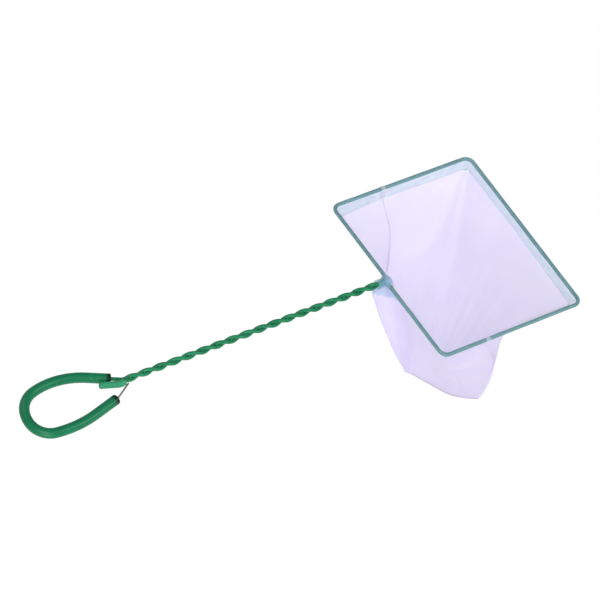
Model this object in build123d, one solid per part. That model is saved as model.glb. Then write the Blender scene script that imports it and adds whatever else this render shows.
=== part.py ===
from build123d import *
import math
import os

# Hand net for an aquarium, in millimetres, +Z up.
# One coated wire makes the whole rigid part: a rectangular frame, two legs twisted into a
# handle, and a hanging loop under a vinyl sleeve. A net bag of two sewn panels hangs from
# the frame. The origin is on the handle's axis, in the middle of the loop's round end; +X runs
# along the handle to the frame, and the wire lies in the plane Z = 0.

# Wire
CORE_D = 1.4            # steel wire inside the coat
WIRE_D = 2.8            # over the vinyl coat
COAT_FIT = 0.05         # room between the steel and its coat
COAT_STRIP = 8.0        # bare steel from the coat's end to the loop's shoulder

# Twisted handle
TWIST_PITCH = 24.8      # length of one full turn
TWIST_TURNS = 9
STRAND_GAP = 0.1        # between the two strands
FORK_LEAD = 3.0         # straight run from the twist to the loop's first bend
NECK_LEAD = 3.8         # straight run from the twist to the frame's near side
NECK_BEND_R = 3.4       # bend of each strand into the frame
FORK_BEND_R = 6.0       # bend of each strand out of the twist
STUB_LENGTH = 22.0      # cut end of the second strand, from the fork into the loop
STUB_DIP = 8.0          # from the fork to the stub's bend
STUB_DIP_Y = -2.7
STUB_END_Y = 2.0

# Soft cap on the cut end
CAP_OD = 5.0
CAP_CLEARANCE = 0.1     # round the wire and at its end
CAP_END = 1.2           # closed end
CAP_ROUND = 1.0
CAP_REACH = 3.3         # past the stub's bend towards the fork

# Hanging loop, wire centreline: it leans to its lower side, as bent by hand
FORK_X = 65.5           # where the twist begins
LOOP_REACH = 20.2       # round end, from the origin
END_UPPER_Y = 13.5      # the round end's two corners and their bends
END_UPPER_R = 22.0
END_LOWER_Y = 18.8
END_LOWER_R = 15.4
UPPER_BEND_X = 19.2     # wide bend of the upper leg
UPPER_BEND_Y = 22.2
UPPER_BEND_R = 61.0
LOWER_BEND_X = 11.0     # long bend of the lower leg
LOWER_BEND_Y = 22.2
LOWER_BEND_R = 90.0
SHOULDER_X = 49.8       # where the lower leg turns in to the fork
SHOULDER_Y = 11.8
SHOULDER_R = 12.0
TIP_BACK = 2.0          # the bare tip stops this far short of the twist
TIP_GAP = 0.1           # between the bare tip and the strand that it lies against

# Vinyl sleeve on the loop
SLEEVE_OD = 7.6
SLEEVE_CLEARANCE = 0.3  # round the wire
SLEEVE_UPPER = 9.8      # from its upper end to the strand's bend at the fork
SLEEVE_LOWER = 2.0      # from its lower end to the shoulder

# Rectangular frame, wire centrelines
FRAME_LENGTH = 152.0    # across the handle
FRAME_WIDTH = 127.0     # along the handle
FRAME_CORNER_R = 6.0

# Hem of the net on the frame
HEM_CLEARANCE = 0.1     # round the coated wire
HEM_CLOTH = 0.25        # thickness round the wire
HEM_DEPTH = 7.5         # from the wire to the row of stitches
GATHER_LENGTH = 9.0     # cloth gathered round the neck, along the handle
GATHER_REACH = 7.0      # and along each half of the near side

# Net bag
BAG_DEPTH = 155.5
BAG_WALL = 0.8          # net and its small folds
BAG_SPANS = 8
SEAM_LEFT_X = 46.0      # side seams, from the frame's near side
SEAM_RIGHT_X = 40.0
SEAM_RIGHT_BOW = 11.0   # how far the right seam bellies out on its way down
SEAM_THICKNESS = 0.9
SEAM_FIN = 2.2          # sewn edge that stands out from the bag
SEAM_GAP = 0.15         # beside each panel's edge
TOE_LENGTH = 61.0
TOE_TURN = 41.0         # how far the bag's foot is turned from the frame, degrees
TOE_CENTRE_X = 85.0     # from the frame's near side
TOE_CENTRE_Y = -15.5
TOE_THICKNESS = 2.4
TOE_HEIGHT = 3.0
TOE_GAP = 0.3
FOLD_OUT = 8.0          # fold under the neck, out along the handle
FOLD_REACH = 14.0       # and along each half of the near side

# Where each stretch of cloth ends on the foot: 0 is its left end, 1 its right end
FOOT_STEP = 0.01        # between the three lines at a corner
FOOT_NEAR_LEFT = 0.02
FOOT_LEFT_HALF = 0.04
FOOT_FOLD_LEFT = 0.05
FOOT_FOLD = 0.07
FOOT_FOLD_RIGHT = 0.2
FOOT_RIGHT_HALF = 0.6
FOOT_NEAR_RIGHT = 0.84
FOOT_FAR_LEFT = 0.26
FOOT_FAR_HALF = 0.42
FOOT_FAR_RIGHT = 0.52
# How early each stretch is drawn in on its way down: 1 is straight to the foot, less hangs
# out as a fold, more falls inwards from the frame
DRAW_NEAR_LEFT = 1.7
DRAW_FOLD = 0.85
DRAW_NEAR_RIGHT = 0.9
DRAW_FAR_LEFT = 1.0
DRAW_FAR_RIGHT = 1.6

# Values that follow from the sizes above
strand_r = (WIRE_D + STRAND_GAP) / 2
lay_slope = 2 * math.pi * strand_r / TWIST_PITCH
twist_end_x = FORK_X + TWIST_PITCH * TWIST_TURNS
neck_x = twist_end_x + NECK_LEAD
far_x = neck_x + FRAME_WIDTH
side_y = FRAME_LENGTH / 2
neck_rise = NECK_LEAD * lay_slope
fork_rise = FORK_LEAD * lay_slope
coat_bore_r = CORE_D / 2 + COAT_FIT
hem_bore_r = WIRE_D / 2 + HEM_CLEARANCE
hem_r = hem_bore_r + HEM_CLOTH

os.makedirs("parts", exist_ok=True)


def save(shape, node):
    """Write one piece as its own file."""
    shape.label = node
    export_step(shape, f"parts/{node}.step")


def swept(path, outer_r, inner_r=0.0):
    """Round wire or tube along a path."""
    start = Plane(origin=path @ 0, z_dir=path % 0)
    section = Circle(outer_r)
    if inner_r > 0:
        section = section - Circle(inner_r)
    return sweep(start * section, path=path)


def joined(*curves):
    """One wire from curves that follow each other."""
    return Wire([edge for curve in curves for edge in curve.edges()])


def between(start, end, distance):
    """Point at a distance from start towards end."""
    return start + (end - start).normalized() * distance


# Twisted strands: biarcs of a quarter turn on a right-handed helix

def twist_point(quarter, side):
    """Point and direction on a strand after some quarter turns; side is 1 or -1."""
    angle = quarter * math.pi / 2
    point = Vector(
        FORK_X + quarter * TWIST_PITCH / 4,
        side * strand_r * math.cos(angle),
        side * strand_r * math.sin(angle),
    )
    direction = Vector(
        1,
        -side * lay_slope * math.sin(angle),
        side * lay_slope * math.cos(angle),
    )
    return point, direction.normalized()


def biarc(start, start_dir, end, end_dir):
    """Two arcs that leave and arrive in the given directions."""
    across = end - start
    both = start_dir + end_dir
    bend = 2 * (1 - start_dir.dot(end_dir))
    along = across.dot(both)
    reach = (math.sqrt(along**2 + bend * across.dot(across)) - along) / bend
    middle = (start + end + (start_dir - end_dir) * reach) * 0.5
    first = TangentArc(start, middle, tangent=start_dir)
    return [first, TangentArc(middle, end, tangent=first % 1)]


def twist_path(side):
    """Arcs of one strand from the fork to the neck."""
    arcs = []
    for quarter in range(4 * TWIST_TURNS):
        arcs += biarc(*twist_point(quarter, side), *twist_point(quarter + 1, side))
    return arcs


strand_a_path = joined(*twist_path(1))
stub_end = Vector(FORK_X - STUB_LENGTH, STUB_END_Y, fork_rise)
stub_dip = Vector(FORK_X - STUB_DIP, STUB_DIP_Y, fork_rise)
stub_bend = Vector(FORK_X - FORK_LEAD, -strand_r, fork_rise)
stub_start = Vector(FORK_X, -strand_r, 0)
stub_path = FilletPolyline(stub_end, stub_dip, stub_bend, stub_start, radius=FORK_BEND_R)
strand_b_path = joined(stub_path, *twist_path(-1))

save(swept(strand_a_path, CORE_D / 2), "strand_a_core")
save(swept(strand_a_path, WIRE_D / 2, coat_bore_r), "strand_a_coat")
save(swept(strand_b_path, CORE_D / 2), "strand_b_core")
save(swept(strand_b_path, WIRE_D / 2, coat_bore_r), "strand_b_coat")

# Cap: a short soft tube, closed over the cut end of the second strand


def cap_path(end_room):
    """Line along the stub from some way past its end to the cap's mouth."""
    closed_end = between(stub_end, stub_dip, -end_room)
    mouth = between(stub_dip, stub_bend, CAP_REACH)
    return FilletPolyline(closed_end, stub_dip, mouth, radius=FORK_BEND_R)


cap = swept(cap_path(CAP_CLEARANCE + CAP_END), CAP_OD / 2)
cap_rim = cap.edges().filter_by(GeomType.CIRCLE).sort_by(Axis.X)[0]
cap_bore = swept(cap_path(CAP_CLEARANCE), WIRE_D / 2 + CAP_CLEARANCE)
save(fillet(cap_rim, CAP_ROUND) - cap_bore, "stub_cap")

# Frame: each strand bends at the neck into its half of the near side

hoop_points = [
    Vector(twist_end_x, strand_r, 0),
    Vector(neck_x, strand_r, neck_rise),
    Vector(neck_x, side_y, 0),
    Vector(far_x, side_y, 0),
    Vector(far_x, -side_y, 0),
    Vector(neck_x, -side_y, 0),
    Vector(neck_x, -strand_r, -neck_rise),
    Vector(twist_end_x, -strand_r, 0),
]
hoop_radii = [NECK_BEND_R] + [FRAME_CORNER_R] * 4 + [NECK_BEND_R]
hoop_path = FilletPolyline(*hoop_points, radius=hoop_radii)
save(swept(hoop_path, CORE_D / 2), "frame_core")
save(swept(hoop_path, WIRE_D / 2, coat_bore_r), "frame_coat")

# Loop: the first strand goes on round it, and its bare tip comes back to the fork

fork = Vector(FORK_X, strand_r, 0)
fork_bend = Vector(FORK_X - FORK_LEAD, strand_r, -fork_rise)
upper_bend = Vector(UPPER_BEND_X, UPPER_BEND_Y, 0)
upper_end = Vector(-LOOP_REACH, END_UPPER_Y, 0)
lower_end = Vector(-LOOP_REACH, -END_LOWER_Y, 0)
lower_bend = Vector(LOWER_BEND_X, -LOWER_BEND_Y, 0)
shoulder = Vector(SHOULDER_X, -SHOULDER_Y, 0)
tip_side = strand_r + WIRE_D / 2 + CORE_D / 2 + TIP_GAP
tip = Vector(FORK_X - TIP_BACK, -tip_side, 0)

coat_end = between(shoulder, lower_bend, COAT_STRIP)
sleeve_upper_end = between(fork_bend, upper_bend, SLEEVE_UPPER)
sleeve_lower_end = between(shoulder, lower_bend, SLEEVE_LOWER)

round_points = [upper_bend, upper_end, lower_end, lower_bend]
round_radii = [UPPER_BEND_R, END_UPPER_R, END_LOWER_R, LOWER_BEND_R]
loop_radii = [FORK_BEND_R, *round_radii, SHOULDER_R]
loop_path = FilletPolyline(fork, fork_bend, *round_points, shoulder, tip, radius=loop_radii)
coat_path = FilletPolyline(fork, fork_bend, *round_points, coat_end, radius=loop_radii[:-1])
sleeve_path = FilletPolyline(sleeve_upper_end, *round_points, sleeve_lower_end, radius=round_radii)
save(swept(loop_path, CORE_D / 2), "loop_core")
save(swept(coat_path, WIRE_D / 2, coat_bore_r), "loop_coat")
save(swept(sleeve_path, SLEEVE_OD / 2, WIRE_D / 2 + SLEEVE_CLEARANCE), "grip_sleeve")

# Hem: cloth round the frame wire, and its doubled band down to the row of stitches

hoop_bore = swept(hoop_path, hem_bore_r)
near_start = between(hoop_points[1], hoop_points[2], GATHER_REACH / 2)
near_end = between(hoop_points[6], hoop_points[5], GATHER_REACH / 2)
hem_path = FilletPolyline(near_start, *hoop_points[2:6], near_end, radius=FRAME_CORNER_R)
frame_middle_x = (neck_x + far_x) / 2


def frame_outline(grow):
    """Rounded rectangle of the frame, grown or shrunk all round."""
    return RectangleRounded(FRAME_WIDTH + 2 * grow, FRAME_LENGTH + 2 * grow, FRAME_CORNER_R + grow)


gather_bore_r = strand_r + WIRE_D / 2 + HEM_CLEARANCE
gather_x = neck_x - GATHER_LENGTH
along_handle = Pos(gather_x, 0, 0) * Rot(0, 90, 0)
across_neck = Pos(neck_x, 0, 0) * Rot(90, 0, 0)
handle_wrap = along_handle * extrude(Circle(gather_bore_r + HEM_CLOTH), GATHER_LENGTH)
handle_bore = along_handle * extrude(Circle(gather_bore_r), twist_end_x - gather_x + WIRE_D / 2)
near_wrap = across_neck * extrude(Circle(neck_rise + hem_r), GATHER_REACH, both=True)
band_section = frame_outline(BAG_WALL / 2) - frame_outline(-BAG_WALL / 2)
hem_band = Pos(frame_middle_x, 0, -HEM_DEPTH) * extrude(band_section, HEM_DEPTH)
hem_cloth = swept(hem_path, hem_r) + hem_band + handle_wrap + near_wrap
save(hem_cloth - hoop_bore - handle_bore, "hem")

# Bag: two panels that narrow from the hem to a short foot, turned to one side

turn = math.radians(TOE_TURN)
toe_middle = Vector(neck_x + TOE_CENTRE_X, TOE_CENTRE_Y, 0)
toe_left = Vector(-math.sin(turn), math.cos(turn), 0)
toe_far = Vector(math.cos(turn), math.sin(turn), 0)
panel_end = BAG_DEPTH - TOE_HEIGHT - TOE_GAP
seam_room = SEAM_THICKNESS / 2 + SEAM_GAP
arc_step = FRAME_CORNER_R * (1 - math.sqrt(0.5))


def guide(x, y, outward, foot, draw, bow=0.0):
    """A line down the cloth: its place on the hem, its place on the foot and its shape."""
    return (Vector(x, y, 0), Vector(*outward, 0).normalized(), foot, draw, Vector(bow, 0, 0))


def corner(x_side, y_side, foot, draw):
    """Three guides round a corner of the frame, from its long to its short side."""
    corner_x = neck_x if x_side < 0 else far_x
    places = [(0, FRAME_CORNER_R), (arc_step, arc_step), (FRAME_CORNER_R, 0)]
    guides = []
    for place, (back_x, back_y) in enumerate(places):
        outward = (x_side * back_y, y_side * back_x)
        x = corner_x - x_side * back_x
        spread = foot + y_side * FOOT_STEP * (1 - place)
        guides.append(guide(x, y_side * (side_y - back_y), outward, spread, draw))
    return guides


def height(down):
    """Level of a section, from the hem at 0 to the foot at 1."""
    return -HEM_DEPTH - down * (panel_end - HEM_DEPTH)


def cloth_point(line, down, offset, toe_offset):
    """Point on a guide line, part of the way down and off the middle of the cloth."""
    start, outward, foot, draw, bow = line
    end = toe_middle + toe_left * (TOE_LENGTH * (0.5 - foot)) + toe_far * toe_offset
    drawn = 1 - (1 - down) ** draw
    belly = bow * (4 * down * (1 - down))
    point = (start + outward * offset) * (1 - drawn) + end * drawn + belly
    return (point.X, point.Y, height(down))


def down_steps():
    """Shares of the way down at which the cloth has a section."""
    return [span / BAG_SPANS for span in range(BAG_SPANS + 1)]


def panel(lines, far_side):
    """Cloth between the hem and the foot, along guide lines from the left seam to the right."""
    sections = []
    for down in down_steps():
        toe_out = far_side * TOE_THICKNESS / 2
        toe_in = far_side * (TOE_THICKNESS / 2 - BAG_WALL)
        outer = [cloth_point(line, down, BAG_WALL / 2, toe_out) for line in lines]
        inner = [cloth_point(line, down, -BAG_WALL / 2, toe_in) for line in lines]
        sections.append(make_face(Polyline(*outer, *reversed(inner), close=True)))
    return loft(sections, ruled=True)


left_x = neck_x + SEAM_LEFT_X
right_x = neck_x + SEAM_RIGHT_X
half_way = side_y / 2
near_lines = [
    guide(left_x - seam_room, side_y, (0, 1), 0, 1),
    *reversed(corner(-1, 1, FOOT_NEAR_LEFT, DRAW_NEAR_LEFT)),
    guide(neck_x, half_way, (-1, 0), FOOT_LEFT_HALF, DRAW_NEAR_LEFT),
    guide(neck_x, FOLD_REACH, (-1, 0), FOOT_FOLD_LEFT, DRAW_NEAR_LEFT),
    guide(neck_x - FOLD_OUT, 0, (-1, 0), FOOT_FOLD, DRAW_FOLD),
    guide(neck_x, -FOLD_REACH, (-1, 0), FOOT_FOLD_RIGHT, DRAW_NEAR_RIGHT),
    guide(neck_x, -half_way, (-1, 0), FOOT_RIGHT_HALF, DRAW_NEAR_RIGHT),
    *corner(-1, -1, FOOT_NEAR_RIGHT, DRAW_NEAR_RIGHT),
    guide(right_x - seam_room, -side_y, (0, -1), 1, 1, SEAM_RIGHT_BOW),
]
far_lines = [
    guide(left_x + seam_room, side_y, (0, 1), 0, 1),
    *reversed(corner(1, 1, FOOT_FAR_LEFT, DRAW_FAR_LEFT)),
    guide(far_x, 0, (1, 0), FOOT_FAR_HALF, DRAW_FAR_LEFT),
    *corner(1, -1, FOOT_FAR_RIGHT, DRAW_FAR_RIGHT),
    guide(right_x + seam_room, -side_y, (0, -1), 1, 1, SEAM_RIGHT_BOW),
]
save(panel(near_lines, -1), "near_panel")
save(panel(far_lines, 1), "far_panel")


def side_seam(x, side, bow):
    """Sewn edges of both panels, standing out as a fin from the hem to the foot."""
    half = SEAM_THICKNESS / 2
    foot = 0.5 - side * (0.5 + SEAM_GAP / TOE_LENGTH)
    fin_foot = foot - side * SEAM_FIN / TOE_LENGTH
    near = guide(x - half, side * side_y, (0, side), foot, 1, bow)
    far = guide(x + half, side * side_y, (0, side), foot, 1, bow)
    near_fin = guide(x - half, side * side_y, (0, side), fin_foot, 1, bow)
    far_fin = guide(x + half, side * side_y, (0, side), fin_foot, 1, bow)
    sections = []
    for down in down_steps():
        points = [
            cloth_point(near, down, -BAG_WALL / 2, -half),
            cloth_point(far, down, -BAG_WALL / 2, half),
            cloth_point(far_fin, down, SEAM_FIN, half),
            cloth_point(near_fin, down, SEAM_FIN, -half),
        ]
        sections.append(make_face(Polyline(*points, close=True)))
    return loft(sections, ruled=True)


save(side_seam(left_x, 1, 0), "left_seam")
save(side_seam(right_x, -1, SEAM_RIGHT_BOW), "right_seam")

toe_bar = Box(TOE_THICKNESS, TOE_LENGTH + 2 * SEAM_FIN, TOE_HEIGHT)
toe_place = Pos(toe_middle.X, toe_middle.Y, TOE_HEIGHT / 2 - BAG_DEPTH) * Rot(0, 0, TOE_TURN)
save(toe_place * toe_bar, "toe_seam")
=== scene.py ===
import math

import bmesh
import bpy
from mathutils import Matrix, Vector, noise


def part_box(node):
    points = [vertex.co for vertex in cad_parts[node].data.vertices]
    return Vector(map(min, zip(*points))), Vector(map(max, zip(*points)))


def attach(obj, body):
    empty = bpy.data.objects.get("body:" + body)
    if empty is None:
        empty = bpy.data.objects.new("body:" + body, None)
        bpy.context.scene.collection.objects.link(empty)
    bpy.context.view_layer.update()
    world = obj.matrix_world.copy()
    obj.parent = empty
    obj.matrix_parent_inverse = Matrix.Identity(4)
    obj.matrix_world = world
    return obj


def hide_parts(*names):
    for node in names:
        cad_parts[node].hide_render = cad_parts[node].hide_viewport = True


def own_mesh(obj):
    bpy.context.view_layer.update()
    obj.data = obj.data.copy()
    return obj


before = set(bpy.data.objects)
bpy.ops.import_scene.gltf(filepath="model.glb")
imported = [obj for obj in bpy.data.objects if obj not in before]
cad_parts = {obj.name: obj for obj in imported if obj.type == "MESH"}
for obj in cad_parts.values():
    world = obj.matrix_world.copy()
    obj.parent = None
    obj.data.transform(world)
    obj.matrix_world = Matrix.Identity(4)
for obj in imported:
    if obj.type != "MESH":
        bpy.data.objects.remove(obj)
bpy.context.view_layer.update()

# Hand net for an aquarium, in metres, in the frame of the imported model: the handle runs along +X,
# the wire frame lies in the plane Z = 0 and the net bag hangs below it.

MM = 0.001

# Wire frame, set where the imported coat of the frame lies
WIRE_R = 1.4 * MM
CORNER_R = 6.0 * MM
FRAME_WIDTH = 127.0 * MM
NECK_RISE = 1.4 * MM            # strands at the neck, the left one up and the right one down
frame_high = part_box("frame_coat")[1]
far_x = frame_high.x - WIRE_R
near_x = far_x - FRAME_WIDTH
side_y = frame_high.y - WIRE_R

# Hem
HEM_R = 1.68 * MM               # cloth round the wire
HEM_DEPTH = 7.5 * MM            # from the wire to the row of stitches
HEM_SLOPE_MOST = 0.75           # most that the bag draws the stitches in, for each length down
HEM_LAYERS_GAP = 0.5 * MM       # between its two layers at the stitches
HEM_PUCKER = 0.3 * MM           # unevenness of its lower edge
HEM_PUCKER_SPACING = 5.0 * MM
HEM_START = 0.3 * MM            # from the neck

# Cloth gathered round the neck
GATHER_LENGTH = 9.5 * MM
GATHER_R = 3.3 * MM
GATHER_PLEATS = 9
GATHER_PLEAT_DEPTH = 0.12 * MM
GATHER_TWIST = 3.0              # turn of the pleats along its length, in radians
GATHER_FLARE = 0.4 * MM
GATHER_FLARE_SHARE = 0.25       # share of its length that flares, at the handle's end
GATHER_CLOSE_SHARE = 0.2        # share of its length that draws together, at the frame's end
GATHER_CLOSE = 0.4              # by how much of its radius
SHOULDER_REACH = 6.0 * MM       # along each half of the frame's near side
SHOULDER_R = 3.1 * MM
SHOULDER_CLEARANCE = 0.25 * MM  # round the hem
SHOULDER_PLEATS = 4.5
SHOULDER_PLEAT_DEPTH = 0.06 * MM
SHOULDER_TURNS = 2              # waves of a pleat once round the wire

# Bag
LEFT_SEAM_X = 46.0 * MM         # side seams on the frame, from its near side
RIGHT_SEAM_X = 40.0 * MM
TOE_LENGTH = 61.0 * MM
TOE_TURN = math.radians(41.0)   # how far the foot is turned from the frame
TOE_SAG = 7.5 * MM              # how far the foot hangs down between its ends
TOE_SAG_SKEW = 1.55             # over 1 puts the lowest point nearer to the right end
TOE_GAP = 0.5 * MM              # half of the room between the panels at the foot
NECK_FOLD = 12.0 * MM           # fold under the neck, out along the handle
NECK_FOLD_LEFT = 4.0 * MM       # its reach along the frame to the left of the neck
NECK_FOLD_RIGHT = 9.0 * MM      # and to the right
RIGHT_SEAM_BOW = 11.0 * MM      # right seam's own bend along X, half way down
SEAM_BOW_REACH = 26.0 * MM      # how far from a seam the cloth follows its bow
FOLD_DEPTH = 2.4 * MM           # soft folds down the bag
FOLD_SPACING = 26.0 * MM
FOLD_DRIFT = 1.3                # how much a fold wanders on its way down
FOLD_FADE = 0.8                 # under 1 keeps the folds deep nearer to the hem and the foot
CREASE_DEPTH = 1.4 * MM         # finer creases, which deepen on their way down
CREASE_SPACING = 9.0 * MM
CREASE_DRIFT = 3 * FOLD_DRIFT
CORNER_EASE = 40.0 * MM         # how far to each side the frame's corners are rounded off at the foot
EASE_STEPS = 1100               # steps round the frame that the rounding adds up
NECK_LINE_AT = 14.0 * MM        # lines down the near panel, to each side of the neck
RIGHT_LINE_AT = 40.0 * MM       # line down the far panel, from the right seam
toe_low, toe_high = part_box("toe_seam")
toe_middle = (toe_low + toe_high) / 2
foot_z = toe_high.z
bag_fall = -foot_z - HEM_DEPTH

# Sleeve on the hanging loop
SLEEVE_R = 3.8 * MM
SLEEVE_ENDS = [                 # middles of its two cut ends, round which shade is painted
    Vector((53.7, 5.7, -0.9)) * MM,
    Vector((47.9, -12.3, 0.0)) * MM,
]
SLEEVE_PAINTED_SHADE_REACH = 5.0 * MM    # from a cut end, reach of the painted shade that stands for the dark open bore
SLEEVE_PAINTED_SHADE = 0.08              # share of the colour that the painted shade leaves at a cut end

# Side and toe seams
FIN_WIDTH = 1.3 * MM
FIN_INSIDE = 0.5 * MM           # part of it inside the panels' edge
FIN_THICKNESS = 0.5 * MM
FIN_RIPPLE = 0.4 * MM
FIN_RIPPLE_SPACING = 11.0 * MM
WRAP_WIDTH = 3.4 * MM           # seam's doubled cloth where it goes round the wire
WRAP_OUT = 0.3 * MM             # how far it stands off the hem

# Sewing thread
STITCH_LENGTH = 2.2 * MM
STITCH_PITCH = 3.0 * MM
STITCH_SPAN = 0.7               # share of the pitch from which a stitch takes its direction
STITCH_R = 0.22 * MM
STITCH_DEPTH = 2.2              # through the cloth, in radii of the thread
STITCH_RISE = 0.3 * MM          # row of stitches above the hem's lower edge
TOE_ROW_UP = 1.2 * MM           # row of stitches above the foot's edge
TOE_ROW_INSET = 0.06            # share of the foot left free at each end
TACK_AT = 3.0 * MM              # tack on the gathered cloth, from the neck
TACK_LENGTH = 6.1 * MM
TACK_R = 0.45 * MM

# Depth in the noise at which each uneven pattern is read, so that no two are alike
SEAM_RIPPLE_NOISE = 1.3
FOLD_NOISE = 3.7
TOE_RIPPLE_NOISE = 5.9
CREASE_NOISE = 6.2
PUCKER_NOISE = 8.1

# Squares of each cloth's mesh
PANEL_ACROSS = 150
PANEL_DOWN = 72
HEM_ALONG = 560
HEM_ROUND = 28
GATHER_ROUND = 90
GATHER_ALONG = 24
SHOULDER_ROUND = 48
SHOULDER_ALONG = 40
SIDE_FIN_ALONG = 90
TOE_FIN_ALONG = 60
FIN_ACROSS = 4
WRAP_ALONG = 6

# Lengths along the frame, from the neck round by the left
half_side = side_y - CORNER_R
corner_arc = CORNER_R * math.pi / 2
frame_runs = [
    half_side,
    FRAME_WIDTH - 2 * CORNER_R,
    2 * half_side,
    FRAME_WIDTH - 2 * CORNER_R,
    half_side,
]
frame_round = sum(frame_runs) + 4 * corner_arc
near_corner = half_side + corner_arc / 2
far_corner = near_corner + frame_runs[1] + corner_arc
left_seam_at = half_side + corner_arc + LEFT_SEAM_X - CORNER_R
right_seam_at = -(half_side + corner_arc + RIGHT_SEAM_X - CORNER_R)

# Lines down the cloth: (distance along the hem from the neck, share of the foot where the line
# ends, how early it is drawn in). A draw of 1 runs straight to the foot, less hangs out as a
# fold and more falls inwards.
near_lines = [
    (right_seam_at, 1.0, 1.0),
    (-near_corner, 0.84, 0.9),
    (-half_side / 2, 0.60, 0.9),
    (-NECK_LINE_AT, 0.20, 0.9),
    (0.0, 0.07, 0.85),
    (NECK_LINE_AT, 0.05, 1.7),
    (half_side / 2, 0.04, 1.7),
    (near_corner, 0.02, 1.7),
    (left_seam_at, 0.0, 1.0),
]
far_lines = [
    (left_seam_at, 0.0, 1.0),
    (far_corner, 0.26, 1.0),
    (frame_round / 2, 0.42, 1.0),
    (frame_round - far_corner, 0.52, 1.8),
    (frame_round + right_seam_at - RIGHT_LINE_AT, 0.74, 2.1),
    (frame_round + right_seam_at, 1.0, 1.0),
]

# Left seam's own bend on its way down: (share of the way down, shift along X)
left_seam_bow = [
    (0.0, 0.0),
    (0.22, 2.5 * MM),
    (0.48, -6.0 * MM),
    (0.75, -3.0 * MM),
    (1.0, 0.0),
]


# Small tools

MERGE_GAP = 0.01 * MM


def srgb(code):
    """Linear colour of an sRGB hex value."""
    channels = [int(code[place:place + 2], 16) / 255 for place in (1, 3, 5)]
    linear = [c / 12.92 if c <= 0.04045 else ((c + 0.055) / 1.055) ** 2.4 for c in channels]
    return (*linear, 1.0)


def add(tree, kind, inputs, **settings):
    """Add a node with its settings; each input is a value or another node's output."""
    node = tree.nodes.new("ShaderNode" + kind)
    for name, value in settings.items():
        setattr(node, name, value)
    for socket, value in inputs.items():
        if isinstance(value, bpy.types.NodeSocket):
            tree.links.new(value, node.inputs[socket])
        else:
            node.inputs[socket].default_value = value
    return node


def new_material(name):
    """Empty material and its node tree."""
    material = bpy.data.materials.new(name)
    material.use_nodes = True
    material.node_tree.nodes.clear()
    return material, material.node_tree


def smooth_value(pairs, at):
    """Value of a smooth curve through (place, value) pairs."""
    places = [pair[0] for pair in pairs]
    span = max(i for i in range(len(pairs) - 1) if at >= places[i] or i == 0)
    slopes = []
    for end in (span, span + 1):
        before = max(end - 1, 0)
        after = min(end + 1, len(pairs) - 1)
        slopes.append((pairs[after][1] - pairs[before][1]) / (places[after] - places[before]))
    width = places[span + 1] - places[span]
    t = (at - places[span]) / width
    start, end = pairs[span][1], pairs[span + 1][1]
    return (
        start * (1 + 2 * t) * (1 - t) ** 2
        + slopes[0] * width * t * (1 - t) ** 2
        + end * t * t * (3 - 2 * t)
        + slopes[1] * width * t * t * (t - 1)
    )


def heading(angle):
    """Level direction at an angle from +X."""
    return Vector((math.cos(angle), math.sin(angle), 0))


def on_frame(distance):
    """Place on the frame wire, and its outward direction, from the neck round by the left."""
    distance %= frame_round
    facing = math.pi
    place = Vector((near_x, 0, 0))
    for run in frame_runs:
        step = min(distance, run)
        place = place + heading(facing - math.pi / 2) * step
        distance -= step
        bend = min(distance / CORNER_R, math.pi / 2)
        centre = place - heading(facing) * CORNER_R
        facing -= bend
        place = centre + heading(facing) * CORNER_R
        distance -= bend * CORNER_R
    if place.x < near_x + CORNER_R:
        lift = NECK_RISE * (1 - abs(place.y) / side_y)
        place.z = math.copysign(lift, place.y)
    return place, heading(facing)


def finished(bm, name, material):
    """Object of a bmesh, smooth shaded, with its material."""
    mesh = bpy.data.meshes.new(name)
    bm.to_mesh(mesh)
    bm.free()
    mesh.materials.append(material)
    mesh.polygons.foreach_set("use_smooth", [True] * len(mesh.polygons))
    piece = bpy.data.objects.new(name, mesh)
    bpy.context.scene.collection.objects.link(piece)
    return piece


def cloth(name, across, down, shape, material, closed=False):
    """Piece of cloth: a grid put in place by shape(u, v), with a weave map in metres."""
    bm = bmesh.new()
    bmesh.ops.create_grid(bm, x_segments=across, y_segments=down, size=0.5)
    grid = {}
    for vert in bm.verts:
        column = round((vert.co.x + 0.5) * across)
        row = round((vert.co.y + 0.5) * down)
        grid[column, row] = vert
    weave = {}
    for (column, row), vert in grid.items():
        vert.co = shape(column / across, row / down)
    for row in range(down + 1):
        line = [grid[column, row].co for column in range(across + 1)]
        steps = [0.0] + [(b - a).length for a, b in zip(line, line[1:])]
        middle = sum(steps) / 2
        for column in range(across + 1):
            weave[column, row] = sum(steps[:column + 1]) - middle
    fall = {}
    for column in range(across + 1):
        fall[column, 0] = 0.0
        for row in range(1, down + 1):
            drop = (grid[column, row].co - grid[column, row - 1].co).length
            fall[column, row] = fall[column, row - 1] + drop
    place_of = {vert: place for place, vert in grid.items()}
    layer = bm.loops.layers.uv.new("weave")
    for face in bm.faces:
        for loop in face.loops:
            place = place_of[loop.vert]
            loop[layer].uv = (weave[place], fall[place])
    if closed:
        bmesh.ops.remove_doubles(bm, verts=bm.verts, dist=MERGE_GAP)
        bmesh.ops.recalc_face_normals(bm, faces=bm.faces)
    return finished(bm, name, material)


# Materials

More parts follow.
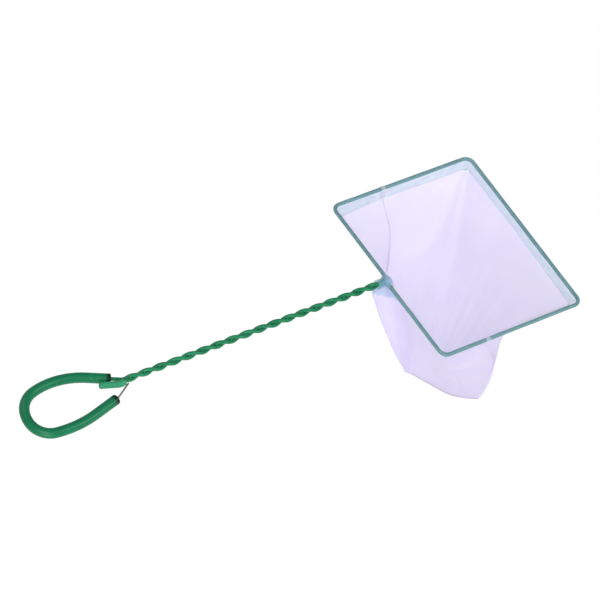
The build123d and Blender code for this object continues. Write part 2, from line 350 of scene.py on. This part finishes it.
def dipped_vinyl():
    """Plasticised PVC, drawn over the wire hot: glossy, a little uneven, deep green."""
    material, tree = new_material("dipped_vinyl")
    place = add(tree, "TexCoord", {}).outputs["Object"]
    cloudy = add(tree, "TexNoise", {"Vector": place, "Scale": 1 / (9 * MM), "Detail": 3})
    colour = add(tree, "ValToRGB", {"Fac": cloudy.outputs["Fac"]})
    colour.color_ramp.elements[0].position = 0.3
    colour.color_ramp.elements[0].color = srgb("#15734B")
    colour.color_ramp.elements[1].position = 0.7
    colour.color_ramp.elements[1].color = srgb("#1F8659")
    gloss = add(tree, "MapRange", {"Value": cloudy.outputs["Fac"], "To Min": 0.25, "To Max": 0.4})
    skin = add(tree, "TexNoise", {"Vector": place, "Scale": 1 / (2.5 * MM), "Detail": 2})
    bump = add(tree, "Bump", {"Height": skin.outputs["Fac"], "Strength": 0.1, "Distance": 0.1 * MM})
    shader = add(tree, "BsdfPrincipled", {
        "Base Color": colour.outputs["Color"],
        "Roughness": gloss.outputs["Result"],
        "Normal": bump.outputs["Normal"],
        "IOR": 1.53,
        "Specular IOR Level": 0.25,
    })
    add(tree, "OutputMaterial", {"Surface": shader.outputs["BSDF"]})
    return material


def extruded_vinyl(name, deep, pale, painted_shade_ends=()):
    """Soft PVC tube, extruded: smooth, half glossy, a faintly uneven skin, with painted shade of the
    open bore that makes it nearly black at the cut ends.
    """
    material, tree = new_material(name)
    place = add(tree, "TexCoord", {}).outputs["Object"]
    cloudy = add(tree, "TexNoise", {"Vector": place, "Scale": 1 / (14 * MM), "Detail": 3})
    colour = add(tree, "ValToRGB", {"Fac": cloudy.outputs["Fac"]})
    colour.color_ramp.elements[0].position = 0.3
    colour.color_ramp.elements[0].color = srgb(deep)
    colour.color_ramp.elements[1].position = 0.7
    colour.color_ramp.elements[1].color = srgb(pale)
    tint = colour.outputs["Color"]
    # painted shade: the colour darkens towards each cut end, standing for the shade in the open bore
    for end in painted_shade_ends:
        gap = add(tree, "VectorMath", {0: place, 1: end}, operation="DISTANCE")
        painted_shade_factor = add(tree, "MapRange", {
            "Value": gap.outputs["Value"], "From Min": SLEEVE_R,
            "From Max": math.hypot(SLEEVE_R, SLEEVE_PAINTED_SHADE_REACH), "To Min": SLEEVE_PAINTED_SHADE, "To Max": 1.0,
        }, interpolation_type="SMOOTHSTEP")
        tint = add(tree, "VectorMath", {0: tint, "Scale": painted_shade_factor.outputs["Result"]},
                   operation="SCALE").outputs["Vector"]
    gloss = add(tree, "MapRange", {"Value": cloudy.outputs["Fac"], "To Min": 0.34, "To Max": 0.42})
    skin = add(tree, "TexNoise", {"Vector": place, "Scale": 1 / (5 * MM), "Detail": 2})
    bump = add(tree, "Bump", {"Height": skin.outputs["Fac"], "Strength": 0.1, "Distance": 0.15 * MM})
    shader = add(tree, "BsdfPrincipled", {
        "Base Color": tint,
        "Roughness": gloss.outputs["Result"],
        "Normal": bump.outputs["Normal"],
        "IOR": 1.53,
        "Specular IOR Level": 0.25,
    })
    add(tree, "OutputMaterial", {"Surface": shader.outputs["BSDF"]})
    return material


def drawn_steel():
    """Galvanised steel wire, cold drawn: grey, half bright, with fine lines along it."""
    material, tree = new_material("drawn_steel")
    place = add(tree, "TexCoord", {}).outputs["Object"]
    long = add(tree, "Mapping", {"Vector": place, "Scale": (0.08, 1.0, 1.0)})
    lines = add(tree, "TexNoise", {
        "Vector": long.outputs["Vector"], "Scale": 1 / (0.25 * MM), "Detail": 3,
    })
    colour = add(tree, "ValToRGB", {"Fac": lines.outputs["Fac"]})
    colour.color_ramp.elements[0].color = srgb("#7D847F")
    colour.color_ramp.elements[1].color = srgb("#B9BFB8")
    gloss = add(tree, "MapRange", {"Value": lines.outputs["Fac"], "To Min": 0.28, "To Max": 0.5})
    bump = add(tree, "Bump", {"Height": lines.outputs["Fac"], "Strength": 0.2, "Distance": 0.05 * MM})
    shader = add(tree, "BsdfPrincipled", {
        "Base Color": colour.outputs["Color"],
        "Metallic": 1.0,
        "Roughness": gloss.outputs["Result"],
        "Normal": bump.outputs["Normal"],
    })
    add(tree, "OutputMaterial", {"Surface": shader.outputs["BSDF"]})
    return material


def nylon_net(name, cell, thread, pale, deep):
    """Fine nylon net, warp knitted: see-through squares of soft lavender-white thread."""
    material, tree = new_material(name)
    weave = add(tree, "UVMap", {}, uv_map="weave").outputs["UV"]
    drift = add(tree, "TexNoise", {"Vector": weave, "Scale": 1 / (7 * MM), "Detail": 2})
    swing = add(tree, "VectorMath", {0: drift.outputs["Color"], "Scale": cell}, operation="SCALE")
    bent = add(tree, "VectorMath", {0: weave, 1: swing.outputs["Vector"]}, operation="ADD")
    parts = add(tree, "SeparateXYZ", {"Vector": bent.outputs["Vector"]})
    reach = [
        add(tree, "Math", {0: parts.outputs[axis], 1: cell / 2}, operation="PINGPONG").outputs[0]
        for axis in ("X", "Y")
    ]
    nearest = add(tree, "Math", {0: reach[0], 1: reach[1]}, operation="MINIMUM")
    solid = add(tree, "MapRange", {
        "Value": nearest.outputs[0],
        "From Min": 0.35 * thread, "From Max": 0.65 * thread, "To Min": 1.0, "To Max": 0.0,
    }, interpolation_type="SMOOTHSTEP")
    patches = add(tree, "TexNoise", {"Vector": weave, "Scale": 1 / (30 * MM), "Detail": 3})
    colour = add(tree, "ValToRGB", {"Fac": patches.outputs["Fac"]})
    colour.color_ramp.elements[0].position = 0.35
    colour.color_ramp.elements[0].color = srgb(deep)
    colour.color_ramp.elements[1].position = 0.65
    colour.color_ramp.elements[1].color = srgb(pale)
    bump = add(tree, "Bump", {"Height": solid.outputs["Result"], "Strength": 0.4, "Distance": 0.1 * MM})
    shader = add(tree, "BsdfPrincipled", {
        "Base Color": colour.outputs["Color"],
        "Roughness": 0.6,
        "IOR": 1.53,
        "Specular IOR Level": 0.3,
        "Sheen Weight": 0.25,
        "Sheen Roughness": 0.4,
        "Normal": bump.outputs["Normal"],
        "Alpha": solid.outputs["Result"],
    })
    add(tree, "OutputMaterial", {"Surface": shader.outputs["BSDF"]})
    return material


def sewing_thread():
    """Spun polyester thread, twisted: matt white with a faint slant of its plies."""
    material, tree = new_material("sewing_thread")
    place = add(tree, "TexCoord", {}).outputs["Object"]
    plies = add(tree, "TexWave", {"Vector": place, "Scale": 1 / (2.5 * MM), "Distortion": 1.0},
                bands_direction="DIAGONAL")
    colour = add(tree, "ValToRGB", {"Fac": plies.outputs["Fac"]})
    colour.color_ramp.elements[0].color = srgb("#E4E0F2")
    colour.color_ramp.elements[1].color = srgb("#F7F5FC")
    bump = add(tree, "Bump", {"Height": plies.outputs["Fac"], "Strength": 0.4, "Distance": 0.05 * MM})
    shader = add(tree, "BsdfPrincipled", {
        "Base Color": colour.outputs["Color"],
        "Roughness": 0.7,
        "Normal": bump.outputs["Normal"],
    })
    add(tree, "OutputMaterial", {"Surface": shader.outputs["BSDF"]})
    return material


# The real net has about 0.5 mm squares; they are drawn at 0.9 mm so that they show.
NET_CELL = 0.9 * MM
NET_THREAD = 0.4 * MM
HEM_THREAD = 0.42 * NET_THREAD      # thin, so that the green wire shows through
GATHER_THREAD = 0.75 * NET_THREAD
SEAM_THREAD = 0.6 * NET_THREAD
TOE_THREAD = 1.5 * NET_THREAD       # several layers, so nearly closed

coat_vinyl = dipped_vinyl()
sleeve_vinyl = extruded_vinyl("sleeve_vinyl", "#0A6C46", "#107951", SLEEVE_ENDS)
cap_vinyl = extruded_vinyl("cap_vinyl", "#2C8A60", "#389B70")
core_steel = drawn_steel()
bag_net = nylon_net("bag_net", NET_CELL, NET_THREAD, "#E8E0FF", "#E1D8FE")
hem_net = nylon_net("hem_net", NET_CELL, HEM_THREAD, "#B7D0F5", "#ACC5EC")
gather_net = nylon_net("gather_net", NET_CELL, GATHER_THREAD, "#8EBFDA", "#7FB2CE")
seam_net = nylon_net("seam_net", NET_CELL, SEAM_THREAD, "#F0EBFF", "#E8E3FA")
toe_net = nylon_net("toe_net", NET_CELL, TOE_THREAD, "#D2CDE4", "#C7C2DA")
thread_white = sewing_thread()

node_finishes = {
    "frame_coat": coat_vinyl,
    "strand_a_coat": coat_vinyl,
    "strand_b_coat": coat_vinyl,
    "loop_coat": coat_vinyl,
    "grip_sleeve": sleeve_vinyl,
    "stub_cap": cap_vinyl,
    "frame_core": core_steel,
    "strand_a_core": core_steel,
    "strand_b_core": core_steel,
    "loop_core": core_steel,
}
for node_name, finish in node_finishes.items():
    for material_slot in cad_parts[node_name].material_slots:
        material_slot.material = finish


# Bag

def toe_point(foot, off=0.0):
    """Point on the bag's foot, from its left end at 0 to its right end at 1."""
    along = heading(TOE_TURN + math.pi / 2) * (TOE_LENGTH * (0.5 - foot))
    point = toe_middle + along + heading(TOE_TURN) * off
    share = min(max(foot, 0.0), 1.0)
    point.z = foot_z - TOE_SAG * math.sin(math.pi * share ** TOE_SAG_SKEW)
    return point


def seam_shift(distance, down):
    """How far the cloth moves along X to follow the bends of the two side seams."""
    near_left = (distance - left_seam_at) / SEAM_BOW_REACH
    gaps = [distance - right_seam_at, distance - right_seam_at - frame_round]
    near_right = min(gaps, key=abs) / SEAM_BOW_REACH
    left = smooth_value(left_seam_bow, down) * math.exp(-near_left ** 2)
    right = 4 * down * (1 - down) * RIGHT_SEAM_BOW * math.exp(-near_right ** 2)
    return left + right


def soft_fold(distance, down, seam_gap):
    """Depth of the soft folds, which die out at the hem, the foot and the seams."""
    wave = noise.noise(Vector((distance / FOLD_SPACING, down * FOLD_DRIFT, FOLD_NOISE)))
    crease = noise.noise(Vector((distance / CREASE_SPACING, down * CREASE_DRIFT, CREASE_NOISE)))
    fade = math.sin(math.pi * down) ** FOLD_FADE * min(1.0, seam_gap / FOLD_SPACING)
    return (FOLD_DEPTH * wave + CREASE_DEPTH * down * crease) * fade


def line_values(lines, distance):
    """Share of the foot and draw of the cloth at a distance along the hem."""
    foot = smooth_value([(line[0], line[1]) for line in lines], distance)
    draw = smooth_value([(line[0], line[2]) for line in lines], distance)
    return min(max(foot, 0.0), 1.0), draw


def hem_draw(distance):
    """How far the bag draws the row of stitches in from under the wire."""
    distance = (distance - right_seam_at) % frame_round + right_seam_at
    lines = near_lines if distance <= left_seam_at else far_lines
    foot, draw = line_values(lines, distance)
    place, outward = on_frame(distance)
    slope = draw * (place - toe_point(foot)).dot(outward) / bag_fall
    return HEM_DEPTH * min(slope, HEM_SLOPE_MOST)


def neck_fold(distance):
    """How far the fold under the neck brings the cloth out again."""
    distance = (distance + frame_round / 2) % frame_round - frame_round / 2
    reach = NECK_FOLD_LEFT if distance > 0 else NECK_FOLD_RIGHT
    return math.exp(-(distance / reach) ** 2) * (NECK_FOLD + hem_draw(distance))


def stitch_shift(distance):
    """How far the row of stitches stands out from under the wire, or below 0 is drawn in."""
    return neck_fold(distance) - hem_draw(distance)


def drawn_place(distance):
    """Place on the row of stitches as the bag draws it in, without the fold under the neck."""
    place, outward = on_frame(distance)
    return place - outward * hem_draw(distance)


ease_step = frame_round / EASE_STEPS
ease_sums = [Vector((0, 0, 0))]
for number in range(EASE_STEPS):
    ease_sums.append(ease_sums[-1] + drawn_place((number + 0.5) * ease_step))


def sum_up_to(distance):
    """Sum of the drawn places from the neck to a distance along the hem."""
    rounds, rest = divmod(distance, frame_round)
    number = min(int(rest / ease_step), EASE_STEPS - 1)
    part = rest / ease_step - number
    return ease_sums[-1] * rounds + ease_sums[number].lerp(ease_sums[number + 1], part)


def eased_place(distance, reach):
    """Mean of the drawn places over a reach to both sides, which rounds the corners off."""
    if reach < ease_step:
        return drawn_place(distance)
    return (sum_up_to(distance + reach) - sum_up_to(distance - reach)) * (ease_step / (2 * reach))


def bag_point(lines, distance, down, side):
    """Point on a panel: distance along the hem, share of the way down, side 1 for the far one."""
    outward = on_frame(distance)[1]
    foot, draw = line_values(lines, distance)
    end = toe_point(foot, side * TOE_GAP)
    drawn = 1 - (1 - down) ** draw
    seam_gap = min(distance - lines[0][0], lines[-1][0] - distance)
    start = eased_place(distance, down * CORNER_EASE) + outward * neck_fold(distance)
    point = start.lerp(end, drawn)
    point += outward.lerp(heading(TOE_TURN) * side, down) * soft_fold(distance, down, seam_gap)
    point.x += seam_shift(distance, down)
    point.z = -HEM_DEPTH + down * (end.z + HEM_DEPTH)
    return point


def panel_shape(lines, side):
    """Shape of a panel, from one seam to the other and from the hem to the foot."""
    start, end = lines[0][0], lines[-1][0]

    def shape(u, v):
        return bag_point(lines, start + u * (end - start), v, side)

    return shape


near_panel = cloth("bag_near_panel", PANEL_ACROSS, PANEL_DOWN, panel_shape(near_lines, -1),
                   bag_net)
far_panel = cloth("bag_far_panel", PANEL_ACROSS, PANEL_DOWN, panel_shape(far_lines, 1),
                  bag_net)


# Hem and the gathered cloth at the neck

hem_tangent = math.sqrt(HEM_DEPTH ** 2 - HEM_R ** 2)
hem_lean = math.acos(HEM_R / HEM_DEPTH)
hem_arc = HEM_R * (2 * math.pi - 2 * hem_lean)


def hem_section(share, grow=0.0):
    """Out and up of the hem's drop-shaped section: up the outside, over the wire, down again."""
    at = share * (2 * hem_tangent + hem_arc)
    side = 1 if at < hem_tangent + hem_arc / 2 else -1
    run = min(at, 2 * hem_tangent + hem_arc - at)
    radius = HEM_R + grow
    if run < hem_tangent:
        low = Vector((HEM_LAYERS_GAP / 2 + grow, -HEM_DEPTH - grow))
        high = Vector((math.sin(hem_lean), -math.cos(hem_lean))) * radius
        point = low.lerp(high, run / hem_tangent)
    else:
        angle = hem_lean + (run - hem_tangent) / HEM_R
        point = Vector((math.sin(angle), -math.cos(angle))) * radius
    return side * point.x, point.y


def hem_shape(start, end, grow):
    """Shape of the hem between two distances along the frame; its stitches lie at one height."""

    def shape(u, v):
        distance = start + u * (end - start)
        place, outward = on_frame(distance)
        out, up = hem_section(v, grow)
        pucker = noise.noise(Vector((distance / HEM_PUCKER_SPACING, 0.0, PUCKER_NOISE)))
        slack = min(1.0, max(0.0, -up / HEM_DEPTH))
        out += (HEM_PUCKER * pucker + stitch_shift(distance)) * slack
        return place + outward * out + Vector((0, 0, up - slack * place.z))

    return shape


hem = cloth("hem_channel", HEM_ALONG, HEM_ROUND,
            hem_shape(HEM_START, frame_round - HEM_START, 0.0), hem_net)


def gather_shape(u, v):
    """Pleated cloth round the end of the handle; it flares where it stops."""
    angle = 2 * math.pi * u
    flare = GATHER_FLARE * max(0.0, 1 - v / GATHER_FLARE_SHARE) ** 2
    pleat = GATHER_PLEAT_DEPTH * math.cos(GATHER_PLEATS * angle + GATHER_TWIST * v)
    radius = GATHER_R + flare + pleat * (1 + flare / GATHER_FLARE)
    x = near_x - GATHER_LENGTH + v * (GATHER_LENGTH + SHOULDER_R)
    closing = 1 - GATHER_CLOSE * max(0.0, 1 - (1 - v) / GATHER_CLOSE_SHARE) ** 2
    return Vector((x, radius * closing * math.cos(angle), radius * closing * math.sin(angle)))


def shoulder_shape(u, v):
    """Gathered cloth along the frame's near side, over the two ends of the hem."""
    angle = 2 * math.pi * u
    y = (2 * v - 1) * SHOULDER_REACH
    taper = 1 - abs(2 * v - 1) ** 3
    radius = HEM_R + SHOULDER_CLEARANCE + (SHOULDER_R - HEM_R) * taper
    wave = 2 * math.pi * SHOULDER_PLEATS * v + SHOULDER_TURNS * angle
    radius += SHOULDER_PLEAT_DEPTH * math.cos(wave) * taper
    return Vector((near_x + radius * math.cos(angle), y, radius * math.sin(angle)))


gather = cloth("neck_gather", GATHER_ROUND, GATHER_ALONG, gather_shape, gather_net,
               closed=True)
shoulders = cloth("neck_shoulders", SHOULDER_ROUND, SHOULDER_ALONG, shoulder_shape, hem_net,
                  closed=True)


# Side and toe seams

def side_seam_shape(lines, at, side):
    """Fin of the two sewn edges, from the hem to the foot."""

    def shape(u, v):
        point = bag_point(lines, at, u, 0)
        outward = on_frame(at)[1]
        out = outward.lerp(heading(TOE_TURN + side * math.pi / 2), u).normalized()
        width = -FIN_INSIDE + v * (FIN_INSIDE + FIN_WIDTH)
        fall = u * abs(foot_z)
        ripple = noise.noise(Vector((fall / FIN_RIPPLE_SPACING, 0.0, side * SEAM_RIPPLE_NOISE)))
        lean = Vector((-out.y, out.x, 0)) * (FIN_RIPPLE * ripple * v)
        return point + out * width + lean

    return shape


def toe_shape(u, v):
    """Fin of the sewn edges along the foot."""
    point = toe_point(u)
    ripple = noise.noise(Vector((u * TOE_LENGTH / FIN_RIPPLE_SPACING, 0.0, TOE_RIPPLE_NOISE)))
    point += heading(TOE_TURN) * (FIN_RIPPLE * ripple * v)
    point.z += FIN_INSIDE - v * (FIN_INSIDE + FIN_WIDTH)
    return point


def thicken(piece, thickness):
    """Give a strip of cloth its thickness, half on each side."""
    solid = piece.modifiers.new("cloth thickness", "SOLIDIFY")
    solid.thickness = thickness
    solid.offset = 0.0


left_seam = cloth("left_side_seam", SIDE_FIN_ALONG, FIN_ACROSS,
                  side_seam_shape(far_lines, left_seam_at, 1), seam_net)
right_seam = cloth("right_side_seam", SIDE_FIN_ALONG, FIN_ACROSS,
                   side_seam_shape(near_lines, right_seam_at, -1), seam_net)
toe_seam = cloth("toe_fin", TOE_FIN_ALONG, FIN_ACROSS, toe_shape, toe_net)
for fin in (left_seam, right_seam, toe_seam):
    thicken(fin, FIN_THICKNESS)

wraps = []
for side_name, at in (("left", left_seam_at), ("right", right_seam_at)):
    wrap_shape = hem_shape(at - WRAP_WIDTH / 2, at + WRAP_WIDTH / 2, WRAP_OUT)
    wraps.append(cloth(f"{side_name}_seam_wrap", WRAP_ALONG, HEM_ROUND, wrap_shape,
                       seam_net))


# Sewing

def stitched(name, points, lean=0.0, thread_r=STITCH_R):
    """Row of stitches along points; each lies along the row, leaned by an angle."""
    bm = bmesh.new()
    for before, after, normal in points:
        along = (after - before).normalized()
        along = Matrix.Rotation(lean, 3, normal) @ along
        across = normal.cross(along).normalized()
        turn = Matrix((along, across, along.cross(across))).transposed().to_4x4()
        size = Matrix.Diagonal((STITCH_LENGTH / 2, thread_r, STITCH_DEPTH * thread_r, 1.0))
        place = Matrix.Translation((before + after) / 2) @ turn @ size
        bmesh.ops.create_uvsphere(bm, u_segments=6, v_segments=5, radius=1.0, matrix=place)
    return finished(bm, name, thread_white)


def row_points(length, point_at, normal_at):
    """Start, end and facing of each stitch of a row of a given length."""
    count = int(length / STITCH_PITCH)
    step = 1 / count
    rows = []
    for place in range(count):
        share = place * step
        rows.append((point_at(share), point_at(share + STITCH_SPAN * step), normal_at(share)))
    return rows


def hem_row_point(share):
    """Point on the hem's row of stitches."""
    distance = HEM_START + share * (frame_round - 2 * HEM_START)
    place, outward = on_frame(distance)
    place.z = -HEM_DEPTH + STITCH_RISE
    return place + outward * stitch_shift(distance)


def hem_row_facing(share):
    """Outward direction at the hem's row of stitches."""
    return on_frame(HEM_START + share * (frame_round - 2 * HEM_START))[1]


hem_row = row_points(frame_round - 2 * HEM_START, hem_row_point, hem_row_facing)
hem_stitches = stitched("hem_stitches", hem_row)


def toe_row_point(share):
    """Point on the row of stitches just above the foot's edge."""
    foot = TOE_ROW_INSET + share * (1 - 2 * TOE_ROW_INSET)
    return toe_point(foot) + Vector((0, 0, TOE_ROW_UP))


def toe_row_facing(share):
    """Level direction across the foot."""
    return heading(TOE_TURN)


def tack_point(share):
    """Point on the tack that holds the gathered cloth, beside the neck."""
    place, outward = on_frame(TACK_AT + share * TACK_LENGTH)
    return place - outward * HEM_R + Vector((0, 0, HEM_R))


def tack_facing(share):
    """Direction that the tack faces."""
    return Vector((1, 0, 1)).normalized()


toe_row = row_points((1 - 2 * TOE_ROW_INSET) * TOE_LENGTH, toe_row_point, toe_row_facing)
toe_stitches = stitched("toe_stitches", toe_row)
tack_row = row_points(TACK_LENGTH, tack_point, tack_facing)
neck_tack = stitched("neck_tack", tack_row, math.pi / 2, TACK_R)


# Bodies, and the imported pieces that the new ones replace

for piece in (near_panel, far_panel, left_seam, right_seam, hem, gather, shoulders, *wraps):
    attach(piece, "net")
for piece in (hem_stitches, neck_tack):
    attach(piece, "net")
for piece in (toe_seam, toe_stitches):
    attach(piece, "bag_foot")
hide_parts("near_panel")
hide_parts("far_panel")
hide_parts("hem")
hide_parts("left_seam")
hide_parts("right_seam")
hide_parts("toe_seam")

for piece in (near_panel, far_panel, left_seam, right_seam):
    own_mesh(piece)
for piece in (toe_seam, toe_stitches):
    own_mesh(piece)


# Camera

CAMERA_AIM = Vector((0.2213, 0.0109, 0.0))
CAMERA_DISTANCE = 3.109
CAMERA_AZIMUTH = math.radians(47.74)    # from +Y towards +X
CAMERA_ELEVATION = math.radians(49.40)
CAMERA_ROLL = math.radians(19.30)
CAMERA_LENS = 255.8
CAMERA_SENSOR = 36.0

level = math.cos(CAMERA_ELEVATION)
look = Vector((
    math.sin(CAMERA_AZIMUTH) * level,
    math.cos(CAMERA_AZIMUTH) * level,
    -math.sin(CAMERA_ELEVATION),
))
camera_data = bpy.data.cameras.new("camera")
camera_data.lens = CAMERA_LENS
camera_data.sensor_width = CAMERA_SENSOR
camera = bpy.data.objects.new("camera", camera_data)
camera.location = CAMERA_AIM - look * CAMERA_DISTANCE
camera_turn = look.to_track_quat("-Z", "Y").to_matrix() @ Matrix.Rotation(CAMERA_ROLL, 3, "Z")
camera.rotation_euler = camera_turn.to_euler()
bpy.context.scene.collection.objects.link(camera)
bpy.context.scene.camera = camera


# Floor, light and view

FLOOR_Z = -0.6
FLOOR_SIZE = 120.0
FLOOR_GLOW = 0.95               # share of the floor's white that takes no shadow
FLOOR_WHITE = 1.04              # strength of that share
WORLD_LIGHT = 0.25


def studio_floor():
    """Pale matt floor that shows white to the camera and keeps some of the shadow."""
    material, tree = new_material("studio_floor")
    rays = add(tree, "LightPath", {})
    seen = add(tree, "Math", {0: rays.outputs["Is Camera Ray"], 1: rays.outputs["Is Glossy Ray"]},
               operation="MAXIMUM")
    seen = add(tree, "Math", {0: seen.outputs[0], 1: rays.outputs["Is Transmission Ray"]},
               operation="MAXIMUM")
    share = add(tree, "Math", {0: seen.outputs[0], 1: FLOOR_GLOW}, operation="MULTIPLY")
    matt = add(tree, "BsdfDiffuse", {"Color": srgb("#F2F2F2")})
    white = add(tree, "Emission", {"Color": srgb("#FFFFFF"), "Strength": FLOOR_WHITE})
    mixed = add(tree, "MixShader", {
        0: share.outputs[0], 1: matt.outputs["BSDF"], 2: white.outputs["Emission"],
    })
    add(tree, "OutputMaterial", {"Surface": mixed.outputs["Shader"]})
    return material


bm = bmesh.new()
bmesh.ops.create_grid(bm, x_segments=1, y_segments=1, size=FLOOR_SIZE / 2,
                      matrix=Matrix.Translation((0, 0, FLOOR_Z)))
floor_mesh = bpy.data.meshes.new("floor")
bm.to_mesh(floor_mesh)
bm.free()
floor_mesh.materials.append(studio_floor())
floor = bpy.data.objects.new("floor", floor_mesh)
bpy.context.scene.collection.objects.link(floor)


def softbox(name, place, size, power):
    """Square studio lamp that points at the middle of the net."""
    lamp_data = bpy.data.lights.new(name, "AREA")
    lamp_data.size = size
    lamp_data.energy = power
    lamp = bpy.data.objects.new(name, lamp_data)
    lamp.location = place
    lamp.rotation_euler = (CAMERA_AIM - Vector(place)).to_track_quat("-Z", "Y").to_euler()
    bpy.context.scene.collection.objects.link(lamp)


# Name, place, length of a side and watts
lamps = [
    ("side_softbox", (1.3, -1.1, 1.5), 0.5, 15.0),
    ("camera_softbox", (-0.8, -0.9, 1.7), 1.2, 21.0),
    ("front_softbox", (-0.9, -1.5, 0.3), 1.0, 18.0),
    ("left_softbox", (-0.3, 1.6, 1.2), 1.0, 7.5),
]
for lamp_name, lamp_place, lamp_size, lamp_power in lamps:
    softbox(lamp_name, lamp_place, lamp_size, lamp_power)

world = bpy.data.worlds.new("studio")
world.use_nodes = True
world.node_tree.nodes.clear()
sky = add(world.node_tree, "Background", {"Color": srgb("#FFFFFF"), "Strength": WORLD_LIGHT})
add(world.node_tree, "OutputWorld", {"Surface": sky.outputs["Background"]})
bpy.context.scene.world = world
bpy.context.scene.view_settings.view_transform = "Standard"
